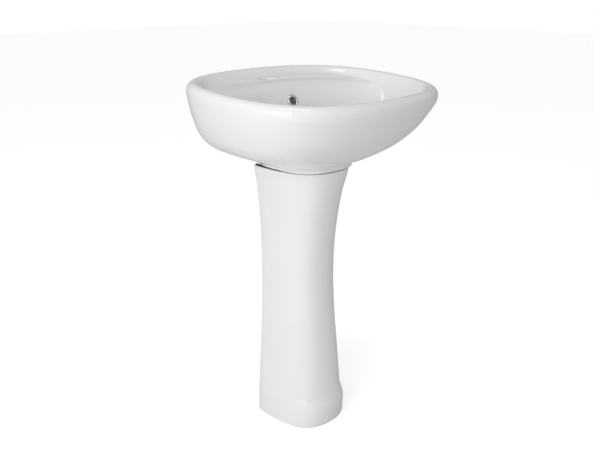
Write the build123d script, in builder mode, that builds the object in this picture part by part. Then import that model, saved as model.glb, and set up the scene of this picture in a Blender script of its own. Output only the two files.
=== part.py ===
"""Pedestal sink: ceramic basin on a hollow ceramic pedestal, with waste, trap and overflow.

Frame: +Z up, the front faces -Y, the wall is the plane y = +WALL_Y, the floor is z = 0 and the
sink is symmetric about x = 0.  All lengths are in millimetres.
"""
import math
import os

from build123d import *

os.makedirs("parts", exist_ok=True)

# ---- overall sizes ------------------------------------------------------------------------
BASIN_WIDTH = 550.0          # across the rim
BASIN_DEPTH = 458.0          # wall to front of the rim
RIM_HEIGHT = 845.0           # floor to the rim crest at the wall
RIM_FALL = 26.0              # how much lower the rim is at the front
RIM_ROLL = 15.5              # radius of the rolled rim
WALL_Y = BASIN_DEPTH / 2     # the wall plane
COLLAR_Z = RIM_HEIGHT - 199.0    # underside of the basin's collar
COLLAR_HALF = 90.0           # half width of the collar
CHINA = 11.0                 # thickness of the ceramic walls

# ---- basin fittings -----------------------------------------------------------------------
TAP_Y = 156.0                # tap hole centre, 73 mm from the wall
TAP_HOLE_R = 17.5            # standard 35 mm tap hole
DECK_Z = RIM_HEIGHT - 18.8   # tap deck
TAP_EDGE_R = 4.0             # glazed round on the tap hole's edge
WALL_BOLT_GAP = 140.0        # distance between the two wall fixing holes
WALL_BOLT_R = 7.0
WALL_BOLT_Z = RIM_HEIGHT - 73.0
WASTE_Y = 15.0               # waste and trap axis
WASTE_HOLE_R = 22.5          # standard 45 mm waste hole
WASTE_SEAT_R = 33.0
WASTE_SEAT_Z = RIM_HEIGHT - 155.0
BOWL_FLOOR_Z = WASTE_SEAT_Z + 2.5
BOSS_R = 44.0
BOSS_Z = WASTE_SEAT_Z - 26.0     # underside of the waste boss
CHAMBER_R = 31.0             # overflow chamber round the waste
CHAMBER_LOW = BOSS_Z + 7.0
CHAMBER_HIGH = BOSS_Z + 19.0
OVERFLOW_Y = 71.6            # overflow ring centre on the bowl's back wall
OVERFLOW_Z = RIM_HEIGHT - 60.1
OVERFLOW_TILT = 22.0         # lean of the ring's axis above level
OVERFLOW_BORE_R = 12.0
OVERFLOW_FLANGE_R = 15.0

# ---- pedestal -----------------------------------------------------------------------------
CUSHION_T = 3.0              # rubber strip between basin and pedestal
PEDESTAL_TOP = COLLAR_Z - CUSHION_T
PEDESTAL_BACK = 110.0        # plane of the pedestal's open back edges
PEDESTAL_WALL = 10.0
BACK_GAP_HALF = 50.0         # half width of the open back
FLOOR_BOLT_GAP = 132.0
LUG_X = 70.0
FLOOR_BOLT_R = 4.0
FLOOR_BOLT_Y = 78.0
LUG_T = 14.0

# ---- clearances ---------------------------------------------------------------------------
RUN = 0.05                   # radial running clearance of turning and sliding fits
SEAT = 0.10                  # small gap where two fixed round parts nest
FREE = 0.40                  # gap between round faces of different bodies

# ---- waste, plug and trap -----------------------------------------------------------------
THREAD_R = 20.95             # G 1 1/4 tail
TAIL_BORE_R = THREAD_R - 3.45
FLANGE_R = 32.0
TAIL_END_Z = BOSS_Z - 68.0
PLUG_TRAVEL = 8.0
STEM_R = 4.0
CARTRIDGE_R = 9.0
TRAP_WALL = 2.8
TRAP_NECK_R = 25.0           # thread of the trap's inlet neck
CUP_THREAD_R = 27.0          # thread between trap head and cup
TRAP_R = CUP_THREAD_R + 3.0      # outside of the trap's drum
CUP_R = CUP_THREAD_R + 4.0
DIP_R = THREAD_R - 2.95      # bore that holds the dip tube
CUP_TOP_Z = TAIL_END_Z - 74.0
CUP_FLOOR_Z = TAIL_END_Z - 148.0
SEAL_Z = TAIL_END_Z - 94.0
BRANCH_R = 20.0              # thread of the trap's outlet branch
BRANCH_END_Y = 71.0
OUTLET_Z = TAIL_END_Z - 51.0
PIPE_R = 16.0
PIPE_WALL = 2.0
PIPE_END_Y = 158.0           # the pipe from the wall joins the outlet pipe here
CUP_TURNS = 3.0
CUP_PITCH = 3.0

# ---- outline helpers ----------------------------------------------------------------------
WIDTH_SCALE = BASIN_WIDTH / 550.0
LIFT = RIM_HEIGHT - 845.0        # ring heights below are written for a rim at 845


def handle(squareness):
    """Handle length of a quarter curve: 2 gives an ellipse, higher numbers a squarer corner."""
    return (2 ** (-1 / squareness) - 0.5) / 0.375


def quarter(half, reach, centre, squareness, stretch):
    """Four points of a quarter outline, from the widest point to the middle of one end."""
    k = handle(squareness)
    return [
        (half, centre * stretch),
        (half, (centre + k * reach) * stretch),
        (k * half, (centre + reach) * stretch),
        (0, (centre + reach) * stretch),
    ]


def tilted_plane(back_y, back_z, front_y, front_z):
    """A plane through the back and front points of a ring, level from side to side."""
    slope = math.atan2(back_z - front_z, back_y - front_y)
    return Plane(
        origin=(0, back_y, back_z), x_dir=(1, 0, 0), z_dir=(0, -math.sin(slope), math.cos(slope))
    )


def ring_on_plane(ring):
    """The plane of a ring, and its back and front quarter outlines in that plane."""
    half, back, back_z, front, front_z, centre, n_back, n_front = ring
    plane = tilted_plane(back, back_z, front, front_z)
    stretch = 1 / plane.z_dir.Z
    rear = quarter(half, back - centre, centre - back, n_back, stretch)
    fore = quarter(half, front - centre, centre - back, n_front, stretch)
    return plane, rear, fore


def flipped(points):
    """The same points on the other side of the centre line."""
    return [(-x, y) for x, y in points]


# Rings are (half width, back y, back z, front y, front z, widest y, back and front squareness).
SLOPE = RIM_FALL / (BASIN_DEPTH - 2 * RIM_ROLL)
BACK_OVER = 7.0              # how far the outline runs past the wall plane before it is trimmed


def outer_ring(drop, half, back, front, share, n_back, n_front=2.64):
    """An outside ring: drop below the roll's centre, sizes, and its share of the rim's slope."""
    z = RIM_HEIGHT - RIM_ROLL - drop
    fall = (back - front) * SLOPE * share
    return (half * WIDTH_SCALE, back, z, front, z - fall, 4.0 + 12.0 * (1 - share), n_back, n_front)


OUTSIDE = [
    (COLLAR_HALF, 118.0, COLLAR_Z, -70.0, COLLAR_Z, 18.0, 4.0, 2.64),
    (COLLAR_HALF + 1.2, 119.2, COLLAR_Z + 6, -71.2, COLLAR_Z + 6, 18.0, 4.0, 2.64),
    outer_ring(165.0, 122.0, 157.0, -90.0, 0.09, 3.4),
    outer_ring(150.5, 158.0, 187.0, -117.0, 0.18, 3.0),
    outer_ring(128.5, 210.0, 222.0, -144.6, 0.30, 2.7),
    outer_ring(101.0, 239.7, 234.0, -170.2, 0.45, 2.6),
    outer_ring(73.5, 254.0, 236.0, -192.8, 0.60, 2.6),
    outer_ring(46.0, 265.3, 236.0, -209.5, 0.75, 2.6),
    outer_ring(22.0, 271.8, 236.0, -223.5, 0.88, 2.6),
    outer_ring(0.0, 275.0, 236.0, -229.0, 1.0, 2.6),
]


def rim_ring(angle, inner_back=0.0):
    """A ring on the rolled rim: 0 degrees is outermost, 90 the crest and 180 innermost."""
    inset = RIM_ROLL * (1 - math.cos(math.radians(angle)))
    rise = RIM_ROLL * math.sin(math.radians(angle))
    back = WALL_Y + BACK_OVER - inset - inner_back
    front = -WALL_Y + inset
    z = RIM_HEIGHT - RIM_ROLL + rise
    fall = (back - front) * SLOPE
    return (275.0 * WIDTH_SCALE - inset, back, z, front, z - fall, 4.0, 2.6, 2.64)


RIM = [rim_ring(25), rim_ring(50), rim_ring(72), rim_ring(92, 1.0), rim_ring(115, 2.0), rim_ring(142, 3.0)]
INSIDE = [
    (244.5, 200.0, 835.0, -198.8, 804.0, 3.0, 2.60, 2.62),
    (242.0, 190.0, 829.4, -197.2, 796.0, 2.0, 2.55, 2.60),
    (240.5, 176.0, 827.0, -195.4, 786.5, 0.0, 2.45, 2.60),
    (239.5, 150.0, 826.0, -193.5, 778.0, -2.0, 2.30, 2.58),
    (238.5, 122.0, 825.0, -191.3, 769.0, -5.0, 2.15, 2.56),
    (237.5, 104.0, 821.5, -188.8, 761.0, -8.0, 2.05, 2.54),
    (236.5, 92.0, 814.0, -185.8, 753.0, -11.0, 2.00, 2.52),
    (235.0, 82.0, 801.0, -182.0, 744.5, -15.0, 2.00, 2.50),
    (232.5, 72.0, 784.5, -176.5, 736.0, -18.0, 2.00, 2.48),
    (227.0, 67.0, 762.0, -166.0, 724.5, -21.0, 2.02, 2.46),
    (216.0, 64.0, 739.0, -150.0, 713.5, -22.0, 2.05, 2.44),
    (192.0, 61.0, 719.0, -126.0, 704.5, -20.0, 2.05, 2.40),
    (146.0, 57.5, 705.5, -91.0, 698.5, -12.0, 2.05, 2.30),
    (86.0, 53.0, 697.0, -50.0, 694.8, 1.0, 2.02, 2.12),
    (35.5, WASTE_Y + 35.5, BOWL_FLOOR_Z - LIFT, WASTE_Y - 35.5, BOWL_FLOOR_Z - LIFT, WASTE_Y, 2.0, 2.0),
]


def placed(index, ring):
    """An inside ring at the basin's own width and height; the lowest rings keep their width."""
    half, back, back_z, front, front_z, centre, n_back, n_front = ring
    wide = half * WIDTH_SCALE if index < 11 else half
    return (wide, back, back_z + LIFT, front, front_z + LIFT, centre, n_back, n_front)


INSIDE = [placed(index, ring) for index, ring in enumerate(INSIDE)]


# ---- helper solids for the basin's hollow underside ----------------------------------------
SKIRT = [
    (COLLAR_HALF - CHINA, 107.0, COLLAR_Z - 3, -59.0, COLLAR_Z - 3, 18.0, 4.0, 2.64),
    (COLLAR_HALF - CHINA, 107.0, COLLAR_Z + 7, -59.0, COLLAR_Z + 7, 18.0, 4.0, 2.64),
    (104.0, 130.0, BOSS_Z + 2, -72.0, BOSS_Z + 1, 16.0, 3.4, 2.6),
    (128.0, 150.0, BOSS_Z + 18, -84.0, BOSS_Z + 16, 14.0, 3.0, 2.6),
]
# Rear hollow: (z, half width, y of its ends, back y, front y) from the deck down.
REAR = [
    (812.0, 205.0, 104.0, 217.0, 117.0),
    (765.0, 212.0, 78.0, 217.0, 83.0),
    (722.0, 200.0, 82.0, 215.0, 73.0),
    (698.0, 165.0, 92.0, 200.0, 78.0),
    (676.0, 112.0, 100.0, 166.0, 90.0),
]

with BuildPart() as skirt_hollow:
    for ring in SKIRT:
        plane, rear, fore = ring_on_plane(ring)
        with BuildSketch(plane):
            with BuildLine():
                Bezier(*rear)
                Bezier(*flipped(rear)[::-1])
                Bezier(*flipped(fore))
                Bezier(*fore[::-1])
            make_face()
    loft()
    with Locations((0, WASTE_Y, BOSS_Z)):
        Cylinder(BOSS_R, 60, align=(Align.CENTER, Align.CENTER, Align.MIN), mode=Mode.SUBTRACT)
    with Locations((0, WASTE_Y, BOSS_Z)):
        Box(56, 102, 60, align=(Align.CENTER, Align.MIN, Align.MIN), mode=Mode.SUBTRACT)

with BuildPart() as rear_hollow:
    for z, half, end_y, back, front in REAR:
        rear = quarter(half, back - end_y, end_y, 2.7, 1)
        fore = [(half, end_y), (0.7 * half, front), (0.35 * half, front), (0, front)]
        with BuildSketch(Plane.XY.offset(z + LIFT)):
            with BuildLine():
                Bezier(*rear)
                Bezier(*flipped(rear)[::-1])
                Bezier(*flipped(fore)[::-1])
                Bezier(*fore)
            make_face()
    loft()
    with Locations((0, WASTE_Y, BOSS_Z)):
        Box(56, 102, 200, align=(Align.CENTER, Align.MIN, Align.MIN), mode=Mode.SUBTRACT)

# ---- basin --------------------------------------------------------------------------------
with BuildPart() as basin:
    for ring in OUTSIDE + RIM + INSIDE:
        plane, rear, fore = ring_on_plane(ring)
        with BuildSketch(plane):
            with BuildLine():
                Bezier(*rear)
                Bezier(*flipped(rear)[::-1])
                Bezier(*flipped(fore))
                Bezier(*fore[::-1])
            make_face()
    loft()
    add(skirt_hollow.part, mode=Mode.SUBTRACT)
    add(rear_hollow.part, mode=Mode.SUBTRACT)
    # flat back against the wall
    with Locations((0, WALL_Y, RIM_HEIGHT - 140)):
        Box(700, 60, 500, align=(Align.CENTER, Align.MIN, Align.CENTER), mode=Mode.SUBTRACT)
    # hand hole in the rear underside
    with BuildSketch(Plane.XY.offset(BOSS_Z - 64)):
        with Locations((0, 168)):
            RectangleRounded(190, 84, 16)
    extrude(amount=150, mode=Mode.SUBTRACT)
    # wall fixing holes
    with Locations(Plane((0, WALL_Y - 40, WALL_BOLT_Z), x_dir=(1, 0, 0), z_dir=(0, 1, 0))):
        with GridLocations(WALL_BOLT_GAP, 1, 2, 1):
            Cylinder(WALL_BOLT_R, 60, align=(Align.CENTER, Align.CENTER, Align.MIN), mode=Mode.SUBTRACT)
    # tap hole
    with BuildSketch(Plane.XZ.offset(-TAP_Y)):
        with BuildLine():
            Line((0, DECK_Z - 40), (TAP_HOLE_R, DECK_Z - 40))
            Line((TAP_HOLE_R, DECK_Z - 40), (TAP_HOLE_R, DECK_Z - TAP_EDGE_R))
            RadiusArc((TAP_HOLE_R, DECK_Z - TAP_EDGE_R), (TAP_HOLE_R + TAP_EDGE_R, DECK_Z), TAP_EDGE_R)
            Line((TAP_HOLE_R + TAP_EDGE_R, DECK_Z), (TAP_HOLE_R + TAP_EDGE_R, DECK_Z + 20))
            Line((TAP_HOLE_R + TAP_EDGE_R, DECK_Z + 20), (0, DECK_Z + 20))
            Line((0, DECK_Z + 20), (0, DECK_Z - 40))
        make_face()
    revolve(axis=Axis((0, TAP_Y, 0), (0, 0, 1)), mode=Mode.SUBTRACT)
    # waste hole, its seat and the overflow chamber
    with Locations((0, WASTE_Y, COLLAR_Z)):
        Cylinder(WASTE_HOLE_R, 60, align=(Align.CENTER, Align.CENTER, Align.MIN), mode=Mode.SUBTRACT)
    with Locations((0, WASTE_Y, WASTE_SEAT_Z)):
        Cylinder(WASTE_SEAT_R, 20, align=(Align.CENTER, Align.CENTER, Align.MIN), mode=Mode.SUBTRACT)
    with Locations((0, WASTE_Y, CHAMBER_LOW)):
        Cylinder(
            CHAMBER_R, CHAMBER_HIGH - CHAMBER_LOW,
            align=(Align.CENTER, Align.CENTER, Align.MIN), mode=Mode.SUBTRACT,
        )
    # overflow passage: shaft behind the bowl, and its foot into the chamber
    with Locations((0, 98, (CHAMBER_LOW + OVERFLOW_Z + 14.1) / 2)):
        Box(38, 16, OVERFLOW_Z + 14.1 - CHAMBER_LOW, mode=Mode.SUBTRACT)
    with Locations((0, WASTE_Y, (CHAMBER_LOW + CHAMBER_HIGH) / 2)):
        Box(
            28, 106 - WASTE_Y, CHAMBER_HIGH - CHAMBER_LOW,
            align=(Align.CENTER, Align.MIN, Align.CENTER), mode=Mode.SUBTRACT,
        )
    # overflow bore and its spot face
    overflow_plane = Plane(
        origin=(0, OVERFLOW_Y, OVERFLOW_Z), x_dir=(1, 0, 0),
        z_dir=(0, -math.cos(math.radians(OVERFLOW_TILT)), math.sin(math.radians(OVERFLOW_TILT))),
    )
    with Locations(overflow_plane.offset(8)):
        Cylinder(OVERFLOW_BORE_R, 34, align=(Align.CENTER, Align.CENTER, Align.MAX), mode=Mode.SUBTRACT)
    with Locations(overflow_plane.offset(-1.2)):
        Cylinder(
            OVERFLOW_FLANGE_R + 0.5, 12,
            align=(Align.CENTER, Align.CENTER, Align.MIN), mode=Mode.SUBTRACT,
        )
basin.part.label = "basin"
export_step(basin.part, "parts/basin.step")

# ---- pedestal -----------------------------------------------------------------------------
# Rings: (z, half width, front y).  The outline runs past the back plane and is trimmed there.
COLUMN = [
    (0.0, 89.6, -59.4),
    (5.0, 90.4, -62.0),
    (16.0, 90.3, -63.6),
    (42.0, 89.6, -65.8),
    (58.0, 88.9, -65.0),
    (68.0, 88.0, -60.0),
    (76.0, 87.0, -55.5),
    (94.0, 85.7, -52.6),
    (137.0, 83.2, -48.8),
    (192.0, 79.4, -44.6),
    (248.0, 75.6, -39.8),
    (301.0, 73.2, -35.6),
    (353.0, 72.1, -32.6),
    (405.0, 72.1, -31.8),
    (456.0, 73.0, -34.0),
    (508.0, 75.4, -39.4),
    (558.0, 79.4, -47.2),
    (607.0, 85.4, -58.6),
    (638.0, 91.0, -66.9),
    (643.0, 91.6, -67.6),
]
COLUMN = [(z * PEDESTAL_TOP / 643.0, half, front) for z, half, front in COLUMN]
COLUMN_MID = 70.0            # y of the column's widest line


def column_ring(half, front, inset, back_over):
    """Quarter outlines of the column, set in from its outside."""
    rear = quarter(half - inset, PEDESTAL_BACK + back_over - COLUMN_MID, COLUMN_MID, 3.2, 1)
    fore = quarter(half - inset, front + inset - COLUMN_MID, COLUMN_MID, 2.75, 1)
    return rear, fore


with BuildPart() as column_bore:
    for z, half, front in COLUMN:
        rear, fore = column_ring(half, max(front, -56.0), PEDESTAL_WALL, -12)
        with BuildSketch(Plane.XY.offset(-2 + z * (PEDESTAL_TOP + 4) / PEDESTAL_TOP)):
            with BuildLine():
                Bezier(*rear)
                Bezier(*flipped(rear)[::-1])
                Bezier(*flipped(fore))
                Bezier(*fore[::-1])
            make_face()
    loft()

with BuildPart() as pedestal:
    for z, half, front in COLUMN:
        rear, fore = column_ring(half, front, 0, 38)
        with BuildSketch(Plane.XY.offset(z)):
            with BuildLine():
                Bezier(*rear)
                Bezier(*flipped(rear)[::-1])
                Bezier(*flipped(fore))
                Bezier(*fore[::-1])
            make_face()
    loft()
    add(column_bore.part, mode=Mode.SUBTRACT)
    with Locations((0, PEDESTAL_BACK, -10)):
        Box(300, 80, 700, align=(Align.CENTER, Align.MIN, Align.MIN), mode=Mode.SUBTRACT)
    with Locations((0, 85, -10)):
        Box(
            2 * BACK_GAP_HALF, 60, 700,
            align=(Align.CENTER, Align.MIN, Align.MIN), mode=Mode.SUBTRACT,
        )
    # floor lugs inside the foot
    with Locations((-LUG_X, FLOOR_BOLT_Y, 0), (LUG_X, FLOOR_BOLT_Y, 0)):
        Box(28, 28, LUG_T, align=(Align.CENTER, Align.CENTER, Align.MIN))
    with Locations((0, FLOOR_BOLT_Y, -1)):
        with GridLocations(FLOOR_BOLT_GAP, 1, 2, 1):
            Cylinder(
                FLOOR_BOLT_R, LUG_T + 10,
                align=(Align.CENTER, Align.CENTER, Align.MIN), mode=Mode.SUBTRACT,
            )
pedestal.part.label = "pedestal"
export_step(pedestal.part, "parts/pedestal.step")

# ---- cushion strip between basin and pedestal -----------------------------------------------
with BuildPart() as cushion:
    outer_rear, outer_fore = column_ring(91.6, -67.6, 2.5, 38)
    inner_rear, inner_fore = column_ring(91.6, -67.6, PEDESTAL_WALL - 1, 38)
    with BuildSketch(Plane.XY.offset(PEDESTAL_TOP)):
        with BuildLine():
            Bezier(*outer_rear)
            Bezier(*flipped(outer_rear)[::-1])
            Bezier(*flipped(outer_fore))
            Bezier(*outer_fore[::-1])
        make_face()
        with BuildLine():
            Bezier(*inner_rear)
            Bezier(*flipped(inner_rear)[::-1])
            Bezier(*flipped(inner_fore))
            Bezier(*inner_fore[::-1])
        make_face(mode=Mode.SUBTRACT)
    extrude(amount=CUSHION_T)
    with Locations((0, PEDESTAL_BACK - 2, PEDESTAL_TOP - 5)):
        Box(300, 80, 20, align=(Align.CENTER, Align.MIN, Align.MIN), mode=Mode.SUBTRACT)
cushion.part.label = "basin_cushion"
export_step(cushion.part, "parts/basin_cushion.step")

# ---- overflow fitting -----------------------------------------------------------------------
with BuildPart() as overflow_insert:
    with Locations(overflow_plane.offset(-1.3)):
        Cylinder(
            OVERFLOW_BORE_R - SEAT, 14, align=(Align.CENTER, Align.CENTER, Align.MAX),
        )
        Cylinder(
            OVERFLOW_BORE_R - 1.5, 16, align=(Align.CENTER, Align.CENTER, Align.MAX),
            mode=Mode.SUBTRACT,
        )
overflow_insert.part.label = "overflow_insert"
export_step(overflow_insert.part, "parts/overflow_insert.step")

with BuildPart() as overflow_ring:
    ring_base = overflow_plane.offset(-1.2)
    ring_section = Plane(origin=ring_base.origin, x_dir=(1, 0, 0), z_dir=-ring_base.y_dir)
    with BuildSketch(ring_section):
        with BuildLine():
            Polyline(
                (9.3, 0), (9.3, -11), (OVERFLOW_BORE_R - 1.5 - SEAT, -11),
                (OVERFLOW_BORE_R - 1.5 - SEAT, 0),
                (OVERFLOW_FLANGE_R - 0.6, 0), (OVERFLOW_FLANGE_R, 0.8),
            )
            Line((OVERFLOW_FLANGE_R, 0.8), (OVERFLOW_FLANGE_R, 1.2))
            Bezier((OVERFLOW_FLANGE_R, 1.2), (OVERFLOW_FLANGE_R - 0.4, 2.6), (12.2, 2.8))
            Bezier((12.2, 2.8), (9.6, 2.9), (9.3, 0))
        make_face()
    revolve(axis=Axis(ring_base.origin, ring_base.z_dir))
overflow_ring.part.label = "overflow_ring"
export_step(overflow_ring.part, "parts/overflow_ring.step")

# ---- basin waste ----------------------------------------------------------------------------
UP = (Align.CENTER, Align.CENTER, Align.MIN)
FLANGE_LOW = WASTE_SEAT_Z + 1.5
FLANGE_TOP = FLANGE_LOW + 2.5

with BuildPart() as top_gasket:
    with Locations((0, WASTE_Y, WASTE_SEAT_Z)):
        Cylinder(30, 1.5, align=UP)
        Cylinder(23, 1.5, align=UP, mode=Mode.SUBTRACT)
top_gasket.part.label = "waste_top_gasket"
export_step(top_gasket.part, "parts/waste_top_gasket.step")

with BuildPart() as waste_body:
    with Locations((0, WASTE_Y, FLANGE_LOW)):
        Cylinder(FLANGE_R, FLANGE_TOP - FLANGE_LOW, align=UP)
    flange_edge = waste_body.edges().filter_by(GeomType.CIRCLE).sort_by(Axis.Z)[-1:]
    fillet(flange_edge, radius=1.6)
    with Locations((0, WASTE_Y, TAIL_END_Z)):
        Cylinder(THREAD_R, FLANGE_LOW - TAIL_END_Z, align=UP)
        Cylinder(TAIL_BORE_R, 120, align=UP, mode=Mode.SUBTRACT)
    with Locations((0, WASTE_Y, CHAMBER_LOW + 0.5)):
        Box(14, 60, CHAMBER_HIGH - CHAMBER_LOW - 1, align=UP, mode=Mode.SUBTRACT)
        Box(60, 14, CHAMBER_HIGH - CHAMBER_LOW - 1, align=UP, mode=Mode.SUBTRACT)
    with Locations((0, WASTE_Y, TAIL_END_Z + 44)):
        Box(2 * TAIL_BORE_R + 1, 5, 12, align=UP)
        Cylinder(CARTRIDGE_R + 2.5, 12, align=UP)
        Cylinder(CARTRIDGE_R + SEAT, 12, align=UP, mode=Mode.SUBTRACT)
waste_body.part.label = "waste_body"
export_step(waste_body.part, "parts/waste_body.step")

with BuildPart() as bottom_gasket:
    with Locations((0, WASTE_Y, BOSS_Z - 9)):
        Cone(26, 30, 9, align=UP)
        Cylinder(THREAD_R + SEAT, 9, align=UP, mode=Mode.SUBTRACT)
bottom_gasket.part.label = "waste_bottom_gasket"
export_step(bottom_gasket.part, "parts/waste_bottom_gasket.step")

with BuildPart() as friction_washer:
    with Locations((0, WASTE_Y, BOSS_Z - 11)):
        Cylinder(28, 2, align=UP)
        Cylinder(THREAD_R + 0.3, 2, align=UP, mode=Mode.SUBTRACT)
friction_washer.part.label = "waste_washer"
export_step(friction_washer.part, "parts/waste_washer.step")

with BuildPart() as back_nut:
    with BuildSketch(Plane.XY.offset(BOSS_Z - 23)):
        with Locations((0, WASTE_Y)):
            RegularPolygon(30, 6)
            Circle(THREAD_R + SEAT, mode=Mode.SUBTRACT)
    extrude(amount=12)
    chamfer(back_nut.edges().group_by(Axis.Z)[0].filter_by(GeomType.LINE), length=1)
back_nut.part.label = "waste_back_nut"
export_step(back_nut.part, "parts/waste_back_nut.step")

# ---- sprung plug ----------------------------------------------------------------------------
SPRING_LOW = TAIL_END_Z + 37.0
STEM_FOOT = TAIL_END_Z + 54.0
CAP_LOW = FLANGE_TOP + 1.0

with BuildPart() as cartridge:
    with Locations((0, WASTE_Y, TAIL_END_Z + 33)):
        Cylinder(CARTRIDGE_R, 38, align=UP)
    with Locations((0, WASTE_Y, TAIL_END_Z + 56.2)):
        Cylinder(CARTRIDGE_R + 2, 4, align=UP)
    with Locations((0, WASTE_Y, SPRING_LOW)):
        Cylinder(6.6, 29, align=UP, mode=Mode.SUBTRACT)
        Cylinder(STEM_R + RUN, 60, align=UP, mode=Mode.SUBTRACT)
cartridge.part.label = "click_cartridge"
export_step(cartridge.part, "parts/click_cartridge.step")

with BuildPart() as spring:
    with BuildLine(Plane((0, WASTE_Y, SPRING_LOW + 0.9))):
        coil = Helix(pitch=3.04, height=15.2, radius=4.6)
    with BuildSketch(Plane(origin=coil @ 0, z_dir=coil % 0)):
        Circle(0.7)
    sweep()
spring.part.label = "cartridge_spring"
export_step(spring.part, "parts/cartridge_spring.step")

with BuildPart() as stem:
    with Locations((0, WASTE_Y, STEM_FOOT)):
        Cylinder(STEM_R, CAP_LOW + 1 - STEM_FOOT, align=UP)
        Cylinder(6.2, 3, align=UP)
stem.part.label = "plug_stem"
export_step(stem.part, "parts/plug_stem.step")

with BuildPart() as plug_cap:
    with BuildSketch(Plane.XZ.offset(-WASTE_Y)):
        with BuildLine():
            Line((0, CAP_LOW), (30, CAP_LOW))
            Bezier((30, CAP_LOW), (31.6, CAP_LOW), (31.6, CAP_LOW + 1.8), (30, CAP_LOW + 2.4))
            Bezier((30, CAP_LOW + 2.4), (22, CAP_LOW + 5), (10, CAP_LOW + 5.6), (0, CAP_LOW + 5.6))
            Line((0, CAP_LOW + 5.6), (0, CAP_LOW))
        make_face()
    revolve(axis=Axis((0, WASTE_Y, 0), (0, 0, 1)))
    with Locations((0, WASTE_Y, CAP_LOW)):
        Cylinder(8, 7, align=(Align.CENTER, Align.CENTER, Align.MAX))
    with Locations((0, WASTE_Y, CAP_LOW - 8)):
        Cylinder(STEM_R + 0.03, 9.1, align=UP, mode=Mode.SUBTRACT)
plug_cap.part.label = "plug_cap"
export_step(plug_cap.part, "parts/plug_cap.step")

with BuildPart() as plug_seal:
    with Locations((0, WASTE_Y, FLANGE_TOP + SEAT)):
        Cylinder(26, CAP_LOW - FLANGE_TOP - SEAT, align=UP)
        Cylinder(8 + SEAT, 4, align=UP, mode=Mode.SUBTRACT)
plug_seal.part.label = "plug_seal"
export_step(plug_seal.part, "parts/plug_seal.step")

# ---- bottle trap ----------------------------------------------------------------------------
NECK_TOP = TAIL_END_Z + 10
LEDGE_Z = TAIL_END_Z - 6

with BuildPart() as trap_head:
    with Locations((0, WASTE_Y, CUP_TOP_Z + 2)):
        Cylinder(TRAP_R, 50, align=UP)
    fillet(trap_head.edges().filter_by(GeomType.CIRCLE).sort_by(Axis.Z)[-1:], radius=3)
    with Locations((0, WASTE_Y, SEAL_Z + 4)):
        Cylinder(CUP_THREAD_R, 30, align=UP)
    with Locations((0, WASTE_Y, TAIL_END_Z - 36)):
        Cylinder(TRAP_NECK_R, NECK_TOP - TAIL_END_Z + 36, align=UP)
    with Locations(Plane((0, WASTE_Y, OUTLET_Z), x_dir=(1, 0, 0), z_dir=(0, 1, 0))):
        Cylinder(BRANCH_R, BRANCH_END_Y - WASTE_Y, align=UP)
    with Locations((0, WASTE_Y, SEAL_Z)):
        Cylinder(CUP_THREAD_R - TRAP_WALL, 24, align=UP, mode=Mode.SUBTRACT)
    with Locations((0, WASTE_Y, CUP_TOP_Z + 3)):
        Cylinder(TRAP_R - TRAP_WALL, 45, align=UP, mode=Mode.SUBTRACT)
    with Locations((0, WASTE_Y, TAIL_END_Z - 36)):
        Cylinder(DIP_R, 60, align=UP, mode=Mode.SUBTRACT)
    with Locations((0, WASTE_Y, LEDGE_Z)):
        Cylinder(THREAD_R + 0.45, 40, align=UP, mode=Mode.SUBTRACT)
    with Locations(Plane((0, WASTE_Y + 22, OUTLET_Z), x_dir=(1, 0, 0), z_dir=(0, 1, 0))):
        Cylinder(PIPE_R + 0.4, 60, align=UP, mode=Mode.SUBTRACT)
trap_head.part.label = "trap_head"
export_step(trap_head.part, "parts/trap_head.step")

with BuildPart() as dip_tube:
    with Locations((0, WASTE_Y, CUP_FLOOR_Z + 20)):
        Cylinder(DIP_R - SEAT, LEDGE_Z + 2 - CUP_FLOOR_Z - 20, align=UP)
    with Locations((0, WASTE_Y, LEDGE_Z)):
        Cylinder(THREAD_R, 2, align=UP)
    with Locations((0, WASTE_Y, CUP_FLOOR_Z + 12)):
        Cylinder(DIP_R - 2, 140, align=UP, mode=Mode.SUBTRACT)
dip_tube.part.label = "trap_dip_tube"
export_step(dip_tube.part, "parts/trap_dip_tube.step")

with BuildPart() as inlet_washer:
    with Locations((0, WASTE_Y, NECK_TOP)):
        Cylinder(TRAP_NECK_R - 0.8, 4, align=UP)
        Cylinder(THREAD_R + SEAT, 4, align=UP, mode=Mode.SUBTRACT)
inlet_washer.part.label = "trap_inlet_washer"
export_step(inlet_washer.part, "parts/trap_inlet_washer.step")

with BuildPart() as inlet_nut:
    with Locations((0, WASTE_Y, NECK_TOP - 14)):
        Cylinder(TRAP_NECK_R + 3.5, 22, align=UP)
        with PolarLocations(TRAP_NECK_R + 3.5, 12):
            Box(2.4, 5, 22, align=UP)
    with Locations((0, WASTE_Y, NECK_TOP - 14)):
        Cylinder(TRAP_NECK_R + SEAT, 18, align=UP, mode=Mode.SUBTRACT)
        Cylinder(THREAD_R + 0.3, 30, align=UP, mode=Mode.SUBTRACT)
inlet_nut.part.label = "trap_inlet_nut"
export_step(inlet_nut.part, "parts/trap_inlet_nut.step")

with BuildPart() as cup_seal:
    with Locations((0, WASTE_Y, SEAL_Z)):
        Cylinder(CUP_THREAD_R - FREE, 4, align=UP)
        Cylinder(CUP_THREAD_R - TRAP_WALL + FREE, 4, align=UP, mode=Mode.SUBTRACT)
cup_seal.part.label = "trap_cup_seal"
export_step(cup_seal.part, "parts/trap_cup_seal.step")

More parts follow.
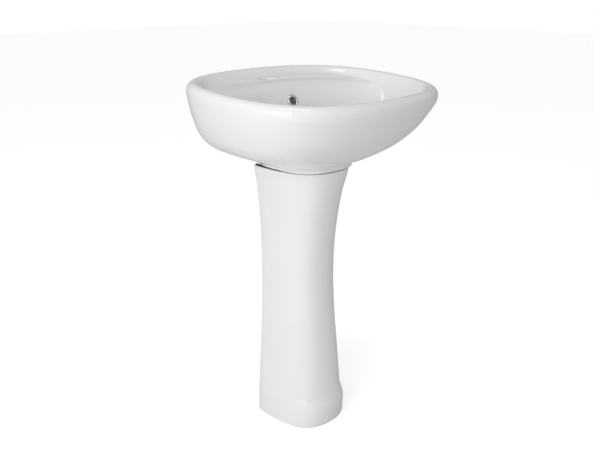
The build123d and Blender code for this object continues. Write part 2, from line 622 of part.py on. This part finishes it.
with BuildPart() as cup:
    with Locations((0, WASTE_Y, CUP_FLOOR_Z)):
        Cylinder(CUP_R, CUP_TOP_Z - CUP_FLOOR_Z, align=UP)
    fillet(cup.edges().filter_by(GeomType.CIRCLE).sort_by(Axis.Z)[:1], radius=7)
    with Locations((0, WASTE_Y, CUP_TOP_Z - 26)):
        with PolarLocations(CUP_R, 16):
            Box(2.6, 4, 26, align=UP)
    with Locations((0, WASTE_Y, CUP_FLOOR_Z + 3)):
        Cylinder(CUP_THREAD_R - TRAP_WALL, 90, align=UP, mode=Mode.SUBTRACT)
    with Locations((0, WASTE_Y, SEAL_Z)):
        Cylinder(CUP_THREAD_R + RUN, 40, align=UP, mode=Mode.SUBTRACT)
cup.part.label = "trap_cup"
export_step(cup.part, "parts/trap_cup.step")

with BuildPart() as outlet_pipe:
    with Locations(Plane((0, 50, OUTLET_Z), x_dir=(1, 0, 0), z_dir=(0, 1, 0))):
        Cylinder(PIPE_R, PIPE_END_Y - 50, align=UP)
        Cylinder(PIPE_R - PIPE_WALL, PIPE_END_Y - 50, align=UP, mode=Mode.SUBTRACT)
outlet_pipe.part.label = "outlet_pipe"
export_step(outlet_pipe.part, "parts/outlet_pipe.step")

with BuildPart() as outlet_washer:
    with Locations(Plane((0, BRANCH_END_Y, OUTLET_Z), x_dir=(1, 0, 0), z_dir=(0, 1, 0))):
        Cylinder(BRANCH_R - 0.6, 4, align=UP)
        Cylinder(PIPE_R + SEAT, 4, align=UP, mode=Mode.SUBTRACT)
outlet_washer.part.label = "trap_outlet_washer"
export_step(outlet_washer.part, "parts/trap_outlet_washer.step")

with BuildPart() as outlet_nut:
    with Locations(Plane((0, BRANCH_END_Y - 14, OUTLET_Z), x_dir=(1, 0, 0), z_dir=(0, 1, 0))):
        Cylinder(BRANCH_R + 3.5, 22, align=UP)
        with PolarLocations(BRANCH_R + 3.5, 12):
            Box(2.4, 4.5, 22, align=UP)
        Cylinder(BRANCH_R + SEAT, 18, align=UP, mode=Mode.SUBTRACT)
        Cylinder(PIPE_R + 0.3, 30, align=UP, mode=Mode.SUBTRACT)
outlet_nut.part.label = "trap_outlet_nut"
export_step(outlet_nut.part, "parts/trap_outlet_nut.step")
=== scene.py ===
"""Looks of a white glazed pedestal sink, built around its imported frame.

The basin stands on a waisted pedestal whose back is open.  Inside are the basin waste with its
sprung plug, the overflow ring, the bottle trap and the outlet pipe to the wall.
Lengths are in metres, +Z is up, -Y faces the room and +Y the wall.
"""

from __future__ import annotations

import logging
import math
from dataclasses import dataclass, field
from enum import Enum

import bpy
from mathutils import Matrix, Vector


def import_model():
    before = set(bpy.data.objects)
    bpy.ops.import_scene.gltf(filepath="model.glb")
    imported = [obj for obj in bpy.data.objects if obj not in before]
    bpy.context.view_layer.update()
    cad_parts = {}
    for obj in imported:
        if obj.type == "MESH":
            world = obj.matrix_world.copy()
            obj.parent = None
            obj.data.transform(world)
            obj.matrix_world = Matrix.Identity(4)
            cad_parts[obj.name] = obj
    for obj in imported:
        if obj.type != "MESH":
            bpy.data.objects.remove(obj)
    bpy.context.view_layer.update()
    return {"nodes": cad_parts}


LOG = logging.getLogger("pedestal_sink")
RGBA_A, RGBA_B, RGBA_RESULT = 6, 7, 2    # colour sockets of a Mix node
Colour = tuple[float, float, float]


# --------------------------------------------------------------------------- slots
class Slot(str, Enum):
    """The material slots of the part's record."""

    CHINA = "china"
    CHROME = "chrome"
    BRASS = "brass"
    SPRING_STEEL = "spring_steel"
    BLACK_RUBBER = "black_rubber"
    GREY_PLASTIC = "grey_plastic"
    WHITE_PLASTIC = "white_plastic"


# --------------------------------------------------------------------------- finishes
class NodeSheet:
    """Lays out the shader nodes of one material."""

    def __init__(self, name: str) -> None:
        """Starts a material with a Principled shader.

        Args:
            name: The material's name.
        """
        self.material = bpy.data.materials.new(name)
        self.material.use_nodes = True
        self.tree = self.material.node_tree
        self.shader = self.tree.nodes["Principled BSDF"]
        self.place = self.node("ShaderNodeTexCoord").outputs["Object"]

    def node(self, kind: str, **settings: object) -> bpy.types.Node:
        """Adds a node and sets its properties.

        Args:
            kind: The node's type name.
            **settings: Property values of the node.

        Returns:
            The new node.
        """
        made = self.tree.nodes.new(kind)
        for key, value in settings.items():
            setattr(made, key, value)
        return made

    def feed(self, socket: bpy.types.NodeSocket, value: object) -> None:
        """Links an output to a socket, or sets the socket's constant.

        Args:
            socket: The input socket.
            value: An output socket, a number or a colour.
        """
        if isinstance(value, bpy.types.NodeSocket):
            self.tree.links.new(value, socket)
        elif isinstance(value, tuple) and len(value) == 3 and socket.type == "RGBA":
            socket.default_value = (*value, 1.0)
        else:
            socket.default_value = value

    def noise(self, scale: float, detail: float = 3.0) -> bpy.types.NodeSocket:
        """Adds a noise pattern.

        Args:
            scale: Features per metre.
            detail: Number of finer octaves.

        Returns:
            The noise's value output.
        """
        made = self.node("ShaderNodeTexNoise")
        self.feed(made.inputs["Vector"], self.place)
        made.inputs["Scale"].default_value = scale
        made.inputs["Detail"].default_value = detail
        return made.outputs["Fac"]

    def spread(
        self, value: object, low: float, high: float, to_low: float, to_high: float
    ) -> bpy.types.NodeSocket:
        """Maps a value's range to another, clamped.

        Args:
            value: The output to map.
            low: Start of the input range.
            high: End of the input range.
            to_low: Result at the start.
            to_high: Result at the end.

        Returns:
            The mapped value.
        """
        made = self.node("ShaderNodeMapRange", clamp=True)
        self.feed(made.inputs["Value"], value)
        made.inputs["From Min"].default_value = low
        made.inputs["From Max"].default_value = high
        made.inputs["To Min"].default_value = to_low
        made.inputs["To Max"].default_value = to_high
        return made.outputs["Result"]

    def mix(self, share: object, first: object, second: object) -> bpy.types.NodeSocket:
        """Mixes two colours.

        Args:
            share: How much of the second colour, 0 to 1.
            first: The first colour.
            second: The second colour.

        Returns:
            The mixed colour.
        """
        made = self.node("ShaderNodeMix", data_type="RGBA")
        self.feed(made.inputs["Factor"], share)
        self.feed(made.inputs[RGBA_A], first)
        self.feed(made.inputs[RGBA_B], second)
        return made.outputs[RGBA_RESULT]

    def bump(self, height: object, depth: float) -> bpy.types.NodeSocket:
        """Turns a height pattern into a normal.

        Args:
            height: The pattern, 0 to 1.
            depth: Its depth in metres.

        Returns:
            The bumped normal.
        """
        made = self.node("ShaderNodeBump")
        made.inputs["Strength"].default_value = 1.0
        made.inputs["Distance"].default_value = depth
        self.feed(made.inputs["Height"], height)
        return made.outputs["Normal"]

    def axis(self, letter: str) -> bpy.types.NodeSocket:
        """The object coordinate along one axis.

        Args:
            letter: X, Y or Z.

        Returns:
            The coordinate in metres.
        """
        split = self.node("ShaderNodeSeparateXYZ")
        self.feed(split.inputs[0], self.place)
        return split.outputs[letter]


@dataclass(frozen=True)
class Glaze:
    """White vitreous china under a clear glossy glaze, bare where it stands."""

    name: str = "white_glaze"
    white: Colour = (0.86, 0.862, 0.86)
    pooled: Colour = (0.84, 0.845, 0.845)
    biscuit: Colour = (0.72, 0.69, 0.63)
    cloud_scale: float = 9.0
    gloss: float = 0.055
    gloss_spread: float = 0.035
    gloss_scale: float = 38.0
    bare_below: float = 0.0012
    bare_fade: float = 0.0006
    bare_roughness: float = 0.8
    flow_scale: float = 55.0
    flow_depth: float = 0.00003
    index: float = 1.52

    def build(self) -> bpy.types.Material:
        """Makes the material.

        Returns:
            The material.
        """
        s = NodeSheet(self.name)
        cloud = s.noise(self.cloud_scale, 4.0)
        body = s.mix(s.spread(cloud, 0.35, 0.65, 0.0, 1.0), self.white, self.pooled)
        fade_end = self.bare_below + self.bare_fade
        bare = s.spread(s.axis("Z"), self.bare_below, fade_end, 1.0, 0.0)
        s.feed(s.shader.inputs["Base Color"], s.mix(bare, body, self.biscuit))
        dullest = self.gloss + self.gloss_spread
        sheen = s.spread(s.noise(self.gloss_scale, 3.0), 0.3, 0.7, self.gloss, dullest)
        rough = s.node("ShaderNodeMath", operation="MAXIMUM")
        s.feed(rough.inputs[0], sheen)
        s.feed(rough.inputs[1], s.spread(bare, 0.0, 1.0, 0.0, self.bare_roughness))
        s.feed(s.shader.inputs["Roughness"], rough.outputs[0])
        flow = s.bump(s.noise(self.flow_scale, 2.0), self.flow_depth)
        s.feed(s.shader.inputs["Normal"], flow)
        s.shader.inputs["IOR"].default_value = self.index
        return s.material


@dataclass(frozen=True)
class Metal:
    """Plated or machined metal with faint wipe marks and turning lines."""

    name: str
    bright: Colour
    dull: Colour
    gloss: float
    marks: float = 0.05
    lines_per_metre: float = 0.0
    line_depth: float = 0.00001
    line_waver: float = 0.6
    cloud_scale: float = 60.0
    mark_scale: float = 240.0

    def build(self) -> bpy.types.Material:
        """Makes the material.

        Returns:
            The material.
        """
        s = NodeSheet(self.name)
        cloud = s.spread(s.noise(self.cloud_scale, 5.0), 0.35, 0.7, 0.0, 1.0)
        s.feed(s.shader.inputs["Base Color"], s.mix(cloud, self.bright, self.dull))
        wiped = s.noise(self.mark_scale, 4.0)
        rough = s.spread(wiped, 0.3, 0.7, self.gloss, self.gloss + self.marks)
        s.feed(s.shader.inputs["Roughness"], rough)
        s.shader.inputs["Metallic"].default_value = 1.0
        if self.lines_per_metre:
            wave = s.node("ShaderNodeTexWave", wave_type="BANDS", bands_direction="Z")
            s.feed(wave.inputs["Vector"], s.place)
            wave.inputs["Scale"].default_value = self.lines_per_metre
            wave.inputs["Distortion"].default_value = self.line_waver
            s.feed(s.shader.inputs["Normal"], s.bump(wave.outputs["Fac"], self.line_depth))
        return s.material


@dataclass(frozen=True)
class Moulded:
    """Moulded rubber or plastic: a fine skin, faint clouding and a little dust."""

    name: str
    colour: Colour
    worn: Colour
    gloss: float
    gloss_spread: float = 0.12
    gloss_scale: float = 160.0
    cloud_scale: float = 45.0
    skin_scale: float = 900.0
    skin_depth: float = 0.00002

    def build(self) -> bpy.types.Material:
        """Makes the material.

        Returns:
            The material.
        """
        s = NodeSheet(self.name)
        cloud = s.spread(s.noise(self.cloud_scale, 4.0), 0.4, 0.75, 0.0, 1.0)
        s.feed(s.shader.inputs["Base Color"], s.mix(cloud, self.colour, self.worn))
        patches = s.noise(self.gloss_scale, 3.0)
        rough = s.spread(patches, 0.3, 0.7, self.gloss, self.gloss + self.gloss_spread)
        s.feed(s.shader.inputs["Roughness"], rough)
        skin = s.bump(s.noise(self.skin_scale, 2.0), self.skin_depth)
        s.feed(s.shader.inputs["Normal"], skin)
        return s.material


@dataclass
class Finishes:
    """The sink's finishes, each made once."""

    china: Glaze = Glaze()
    chrome: Metal = Metal(
        name="polished_chrome", bright=(0.82, 0.83, 0.84), dull=(0.74, 0.75, 0.77), gloss=0.05
    )
    brass: Metal = Metal(
        name="machined_brass", bright=(0.78, 0.58, 0.28), dull=(0.62, 0.45, 0.22),
        gloss=0.22, marks=0.12, lines_per_metre=260.0,
    )
    spring_steel: Metal = Metal(
        name="drawn_spring_wire", bright=(0.62, 0.62, 0.63), dull=(0.45, 0.45, 0.46),
        gloss=0.28, marks=0.1,
    )
    black_rubber: Moulded = Moulded(
        name="black_rubber", colour=(0.022, 0.022, 0.023), worn=(0.05, 0.05, 0.05), gloss=0.62
    )
    grey_plastic: Moulded = Moulded(
        name="grey_plastic", colour=(0.13, 0.135, 0.14), worn=(0.17, 0.175, 0.18), gloss=0.38
    )
    white_plastic: Moulded = Moulded(
        name="white_plastic", colour=(0.80, 0.80, 0.785), worn=(0.74, 0.74, 0.72), gloss=0.30
    )
    made: dict[str, bpy.types.Material] = field(default_factory=dict)

    def of(self, slot: Slot) -> bpy.types.Material:
        """The material of a slot of the part's record.

        Args:
            slot: The slot.

        Returns:
            The material.
        """
        if slot.value not in self.made:
            self.made[slot.value] = getattr(self, slot.value).build()
        return self.made[slot.value]


# --------------------------------------------------------------------------- helpers
def clear_selection() -> None:
    """Deselects every object."""
    bpy.ops.object.select_all(action="DESELECT")


def dress(obj: bpy.types.Object, material: bpy.types.Material) -> None:
    """Gives an object one material.

    Args:
        obj: The object.
        material: Its material.
    """
    obj.data.materials.clear()
    obj.data.materials.append(material)


# --------------------------------------------------------------------------- sub-assemblies
@dataclass
class SubAssembly:
    """A group of frame nodes that come apart together on a bench.

    The frame's own meshes are the visible pieces, so a group only has to dress them.
    """

    finishes: Finishes
    nodes: dict[str, bpy.types.Object]
    pieces: dict[str, Slot]

    def build(self) -> None:
        """Dresses each piece of the group in its finish."""
        for node, slot in self.pieces.items():
            dress(self.nodes[node], self.finishes.of(slot))
            LOG.info("%s: dressed %s in %s", type(self).__name__, node, slot.value)


@dataclass
class Ceramics(SubAssembly):
    """The basin, the pedestal and the strip that beds one on the other."""

    pieces: dict[str, Slot] = field(default_factory=lambda: {
        "basin": Slot.CHINA,
        "pedestal": Slot.CHINA,
        "basin_cushion": Slot.BLACK_RUBBER,
    })


@dataclass
class Overflow(SubAssembly):
    """The ring in the bowl's back wall and the sleeve that grips it."""

    pieces: dict[str, Slot] = field(default_factory=lambda: {
        "overflow_ring": Slot.CHROME,
        "overflow_insert": Slot.GREY_PLASTIC,
    })


@dataclass
class Waste(SubAssembly):
    """The slotted waste and what clamps it in the bowl's floor."""

    pieces: dict[str, Slot] = field(default_factory=lambda: {
        "waste_top_gasket": Slot.BLACK_RUBBER,
        "waste_body": Slot.CHROME,
        "waste_bottom_gasket": Slot.BLACK_RUBBER,
        "waste_washer": Slot.WHITE_PLASTIC,
        "waste_back_nut": Slot.BRASS,
    })


@dataclass
class Plug(SubAssembly):
    """The sprung plug and the cartridge that it clicks in."""

    pieces: dict[str, Slot] = field(default_factory=lambda: {
        "click_cartridge": Slot.WHITE_PLASTIC,
        "cartridge_spring": Slot.SPRING_STEEL,
        "plug_stem": Slot.BRASS,
        "plug_cap": Slot.CHROME,
        "plug_seal": Slot.BLACK_RUBBER,
    })


@dataclass
class Trap(SubAssembly):
    """The bottle trap with its slip nuts, and the pipe that leaves it."""

    pieces: dict[str, Slot] = field(default_factory=lambda: {
        "trap_inlet_washer": Slot.BLACK_RUBBER,
        "trap_inlet_nut": Slot.WHITE_PLASTIC,
        "trap_head": Slot.WHITE_PLASTIC,
        "trap_dip_tube": Slot.WHITE_PLASTIC,
        "trap_cup_seal": Slot.BLACK_RUBBER,
        "trap_cup": Slot.WHITE_PLASTIC,
        "trap_outlet_washer": Slot.BLACK_RUBBER,
        "trap_outlet_nut": Slot.WHITE_PLASTIC,
        "outlet_pipe": Slot.WHITE_PLASTIC,
    })


# --------------------------------------------------------------------------- studio
@dataclass(frozen=True)
class Softbox:
    """A soft rectangular lamp: its place, width and height, and power in watts."""

    name: str
    place: tuple[float, float, float]
    size: tuple[float, float]
    watts: float


@dataclass
class Studio:
    """A pale floor, soft lamps and the camera."""

    lens: float = 45.205
    sensor: float = 36.0
    place: tuple[float, float, float] = (-1.1863, -1.1530, 1.0459)
    turn: tuple[float, float, float] = (70.916, 0.0, -44.356)
    clip_end: float = 60.0
    floor_half: float = 14.0
    paper_dark: Colour = (0.80, 0.80, 0.80)
    paper_light: Colour = (0.82, 0.82, 0.82)
    paper_roughness: float = 0.9
    paper_glow: float = 0.55
    ambient_left: float = 0.66
    ambient_right: float = 0.36
    lamp_aim: tuple[float, float, float] = (0.0, 0.0, 0.6)
    softboxes: tuple[Softbox, ...] = (
        Softbox("left_softbox", (-2.9, -1.1, 1.35), (1.8, 1.8), 44.0),
        Softbox("overhead", (-0.3, -0.3, 3.3), (1.2, 0.7), 10.0),
    )

    def floor(self) -> None:
        """Lays the floor."""
        clear_selection()
        bpy.ops.mesh.primitive_grid_add(
            x_subdivisions=4, y_subdivisions=4, size=2 * self.floor_half
        )
        floor = bpy.context.active_object
        floor.name = "studio_floor"
        sheet = NodeSheet("studio_paper")
        tone = sheet.mix(sheet.noise(3.0, 2.0), self.paper_dark, self.paper_light)
        sheet.feed(sheet.shader.inputs["Base Color"], tone)
        sheet.shader.inputs["Roughness"].default_value = self.paper_roughness
        sheet.shader.inputs["Specular IOR Level"].default_value = 0.0
        sheet.shader.inputs["Emission Color"].default_value = (1.0, 1.0, 1.0, 1.0)
        seen = sheet.node("ShaderNodeLightPath").outputs["Is Camera Ray"]
        glow = sheet.spread(seen, 0.0, 1.0, 0.0, self.paper_glow)
        sheet.feed(sheet.shader.inputs["Emission Strength"], glow)
        dress(floor, sheet.material)

    def lamp(self, box: Softbox) -> None:
        """Hangs one soft rectangular lamp.

        Args:
            box: The lamp's sizes.
        """
        clear_selection()
        place = Vector(box.place)
        bpy.ops.object.light_add(type="AREA", location=place)
        lamp = bpy.context.active_object
        lamp.name = box.name
        lamp.data.shape = "RECTANGLE"
        lamp.data.size, lamp.data.size_y = box.size
        lamp.data.energy = box.watts
        facing = Vector(self.lamp_aim) - place
        lamp.rotation_euler = facing.to_track_quat("-Z", "Y").to_euler()

    def surround(self) -> None:
        """Lights the room from all round, more strongly from the left."""
        world = bpy.data.worlds.new("studio_air")
        bpy.context.scene.world = world
        world.use_nodes = True
        tree = world.node_tree
        glow = tree.nodes["Background"]
        glow.inputs["Color"].default_value = (1.0, 1.0, 1.0, 1.0)
        around = tree.nodes.new("ShaderNodeTexCoord").outputs["Generated"]
        way = tree.nodes.new("ShaderNodeSeparateXYZ")
        tree.links.new(around, way.inputs[0])
        side = tree.nodes.new("ShaderNodeMapRange")
        side.inputs["From Min"].default_value = -1.0
        side.inputs["To Min"].default_value = self.ambient_left
        side.inputs["To Max"].default_value = self.ambient_right
        tree.links.new(way.outputs["X"], side.inputs["Value"])
        level = tree.nodes.new("ShaderNodeMapRange")
        level.inputs["To Max"].default_value = 1.0
        tree.links.new(side.outputs["Result"], level.inputs["To Min"])
        seen = tree.nodes.new("ShaderNodeLightPath").outputs["Is Camera Ray"]
        tree.links.new(seen, level.inputs["Value"])
        tree.links.new(level.outputs["Result"], glow.inputs["Strength"])
        view = bpy.context.scene.view_settings
        view.view_transform = "Standard"
        view.look = "None"

    def camera(self) -> None:
        """Sets up the camera."""
        clear_selection()
        turn = [math.radians(angle) for angle in self.turn]
        bpy.ops.object.camera_add(location=self.place, rotation=turn)
        camera = bpy.context.active_object
        camera.name = "studio_camera"
        camera.data.lens = self.lens
        camera.data.sensor_width = self.sensor
        camera.data.clip_end = self.clip_end
        bpy.context.scene.camera = camera

    def build(self) -> None:
        """Builds the whole studio."""
        self.floor()
        for box in self.softboxes:
            self.lamp(box)
        self.surround()
        self.camera()


def main() -> None:
    """Builds the sink's looks and its studio."""
    logging.basicConfig(level=logging.INFO, format="%(name)s: %(message)s")
    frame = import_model()
    finishes = Finishes()
    for group in (Ceramics, Overflow, Waste, Plug, Trap):
        group(finishes, frame["nodes"]).build()
    Studio().build()


if __name__ == "__main__":
    main()
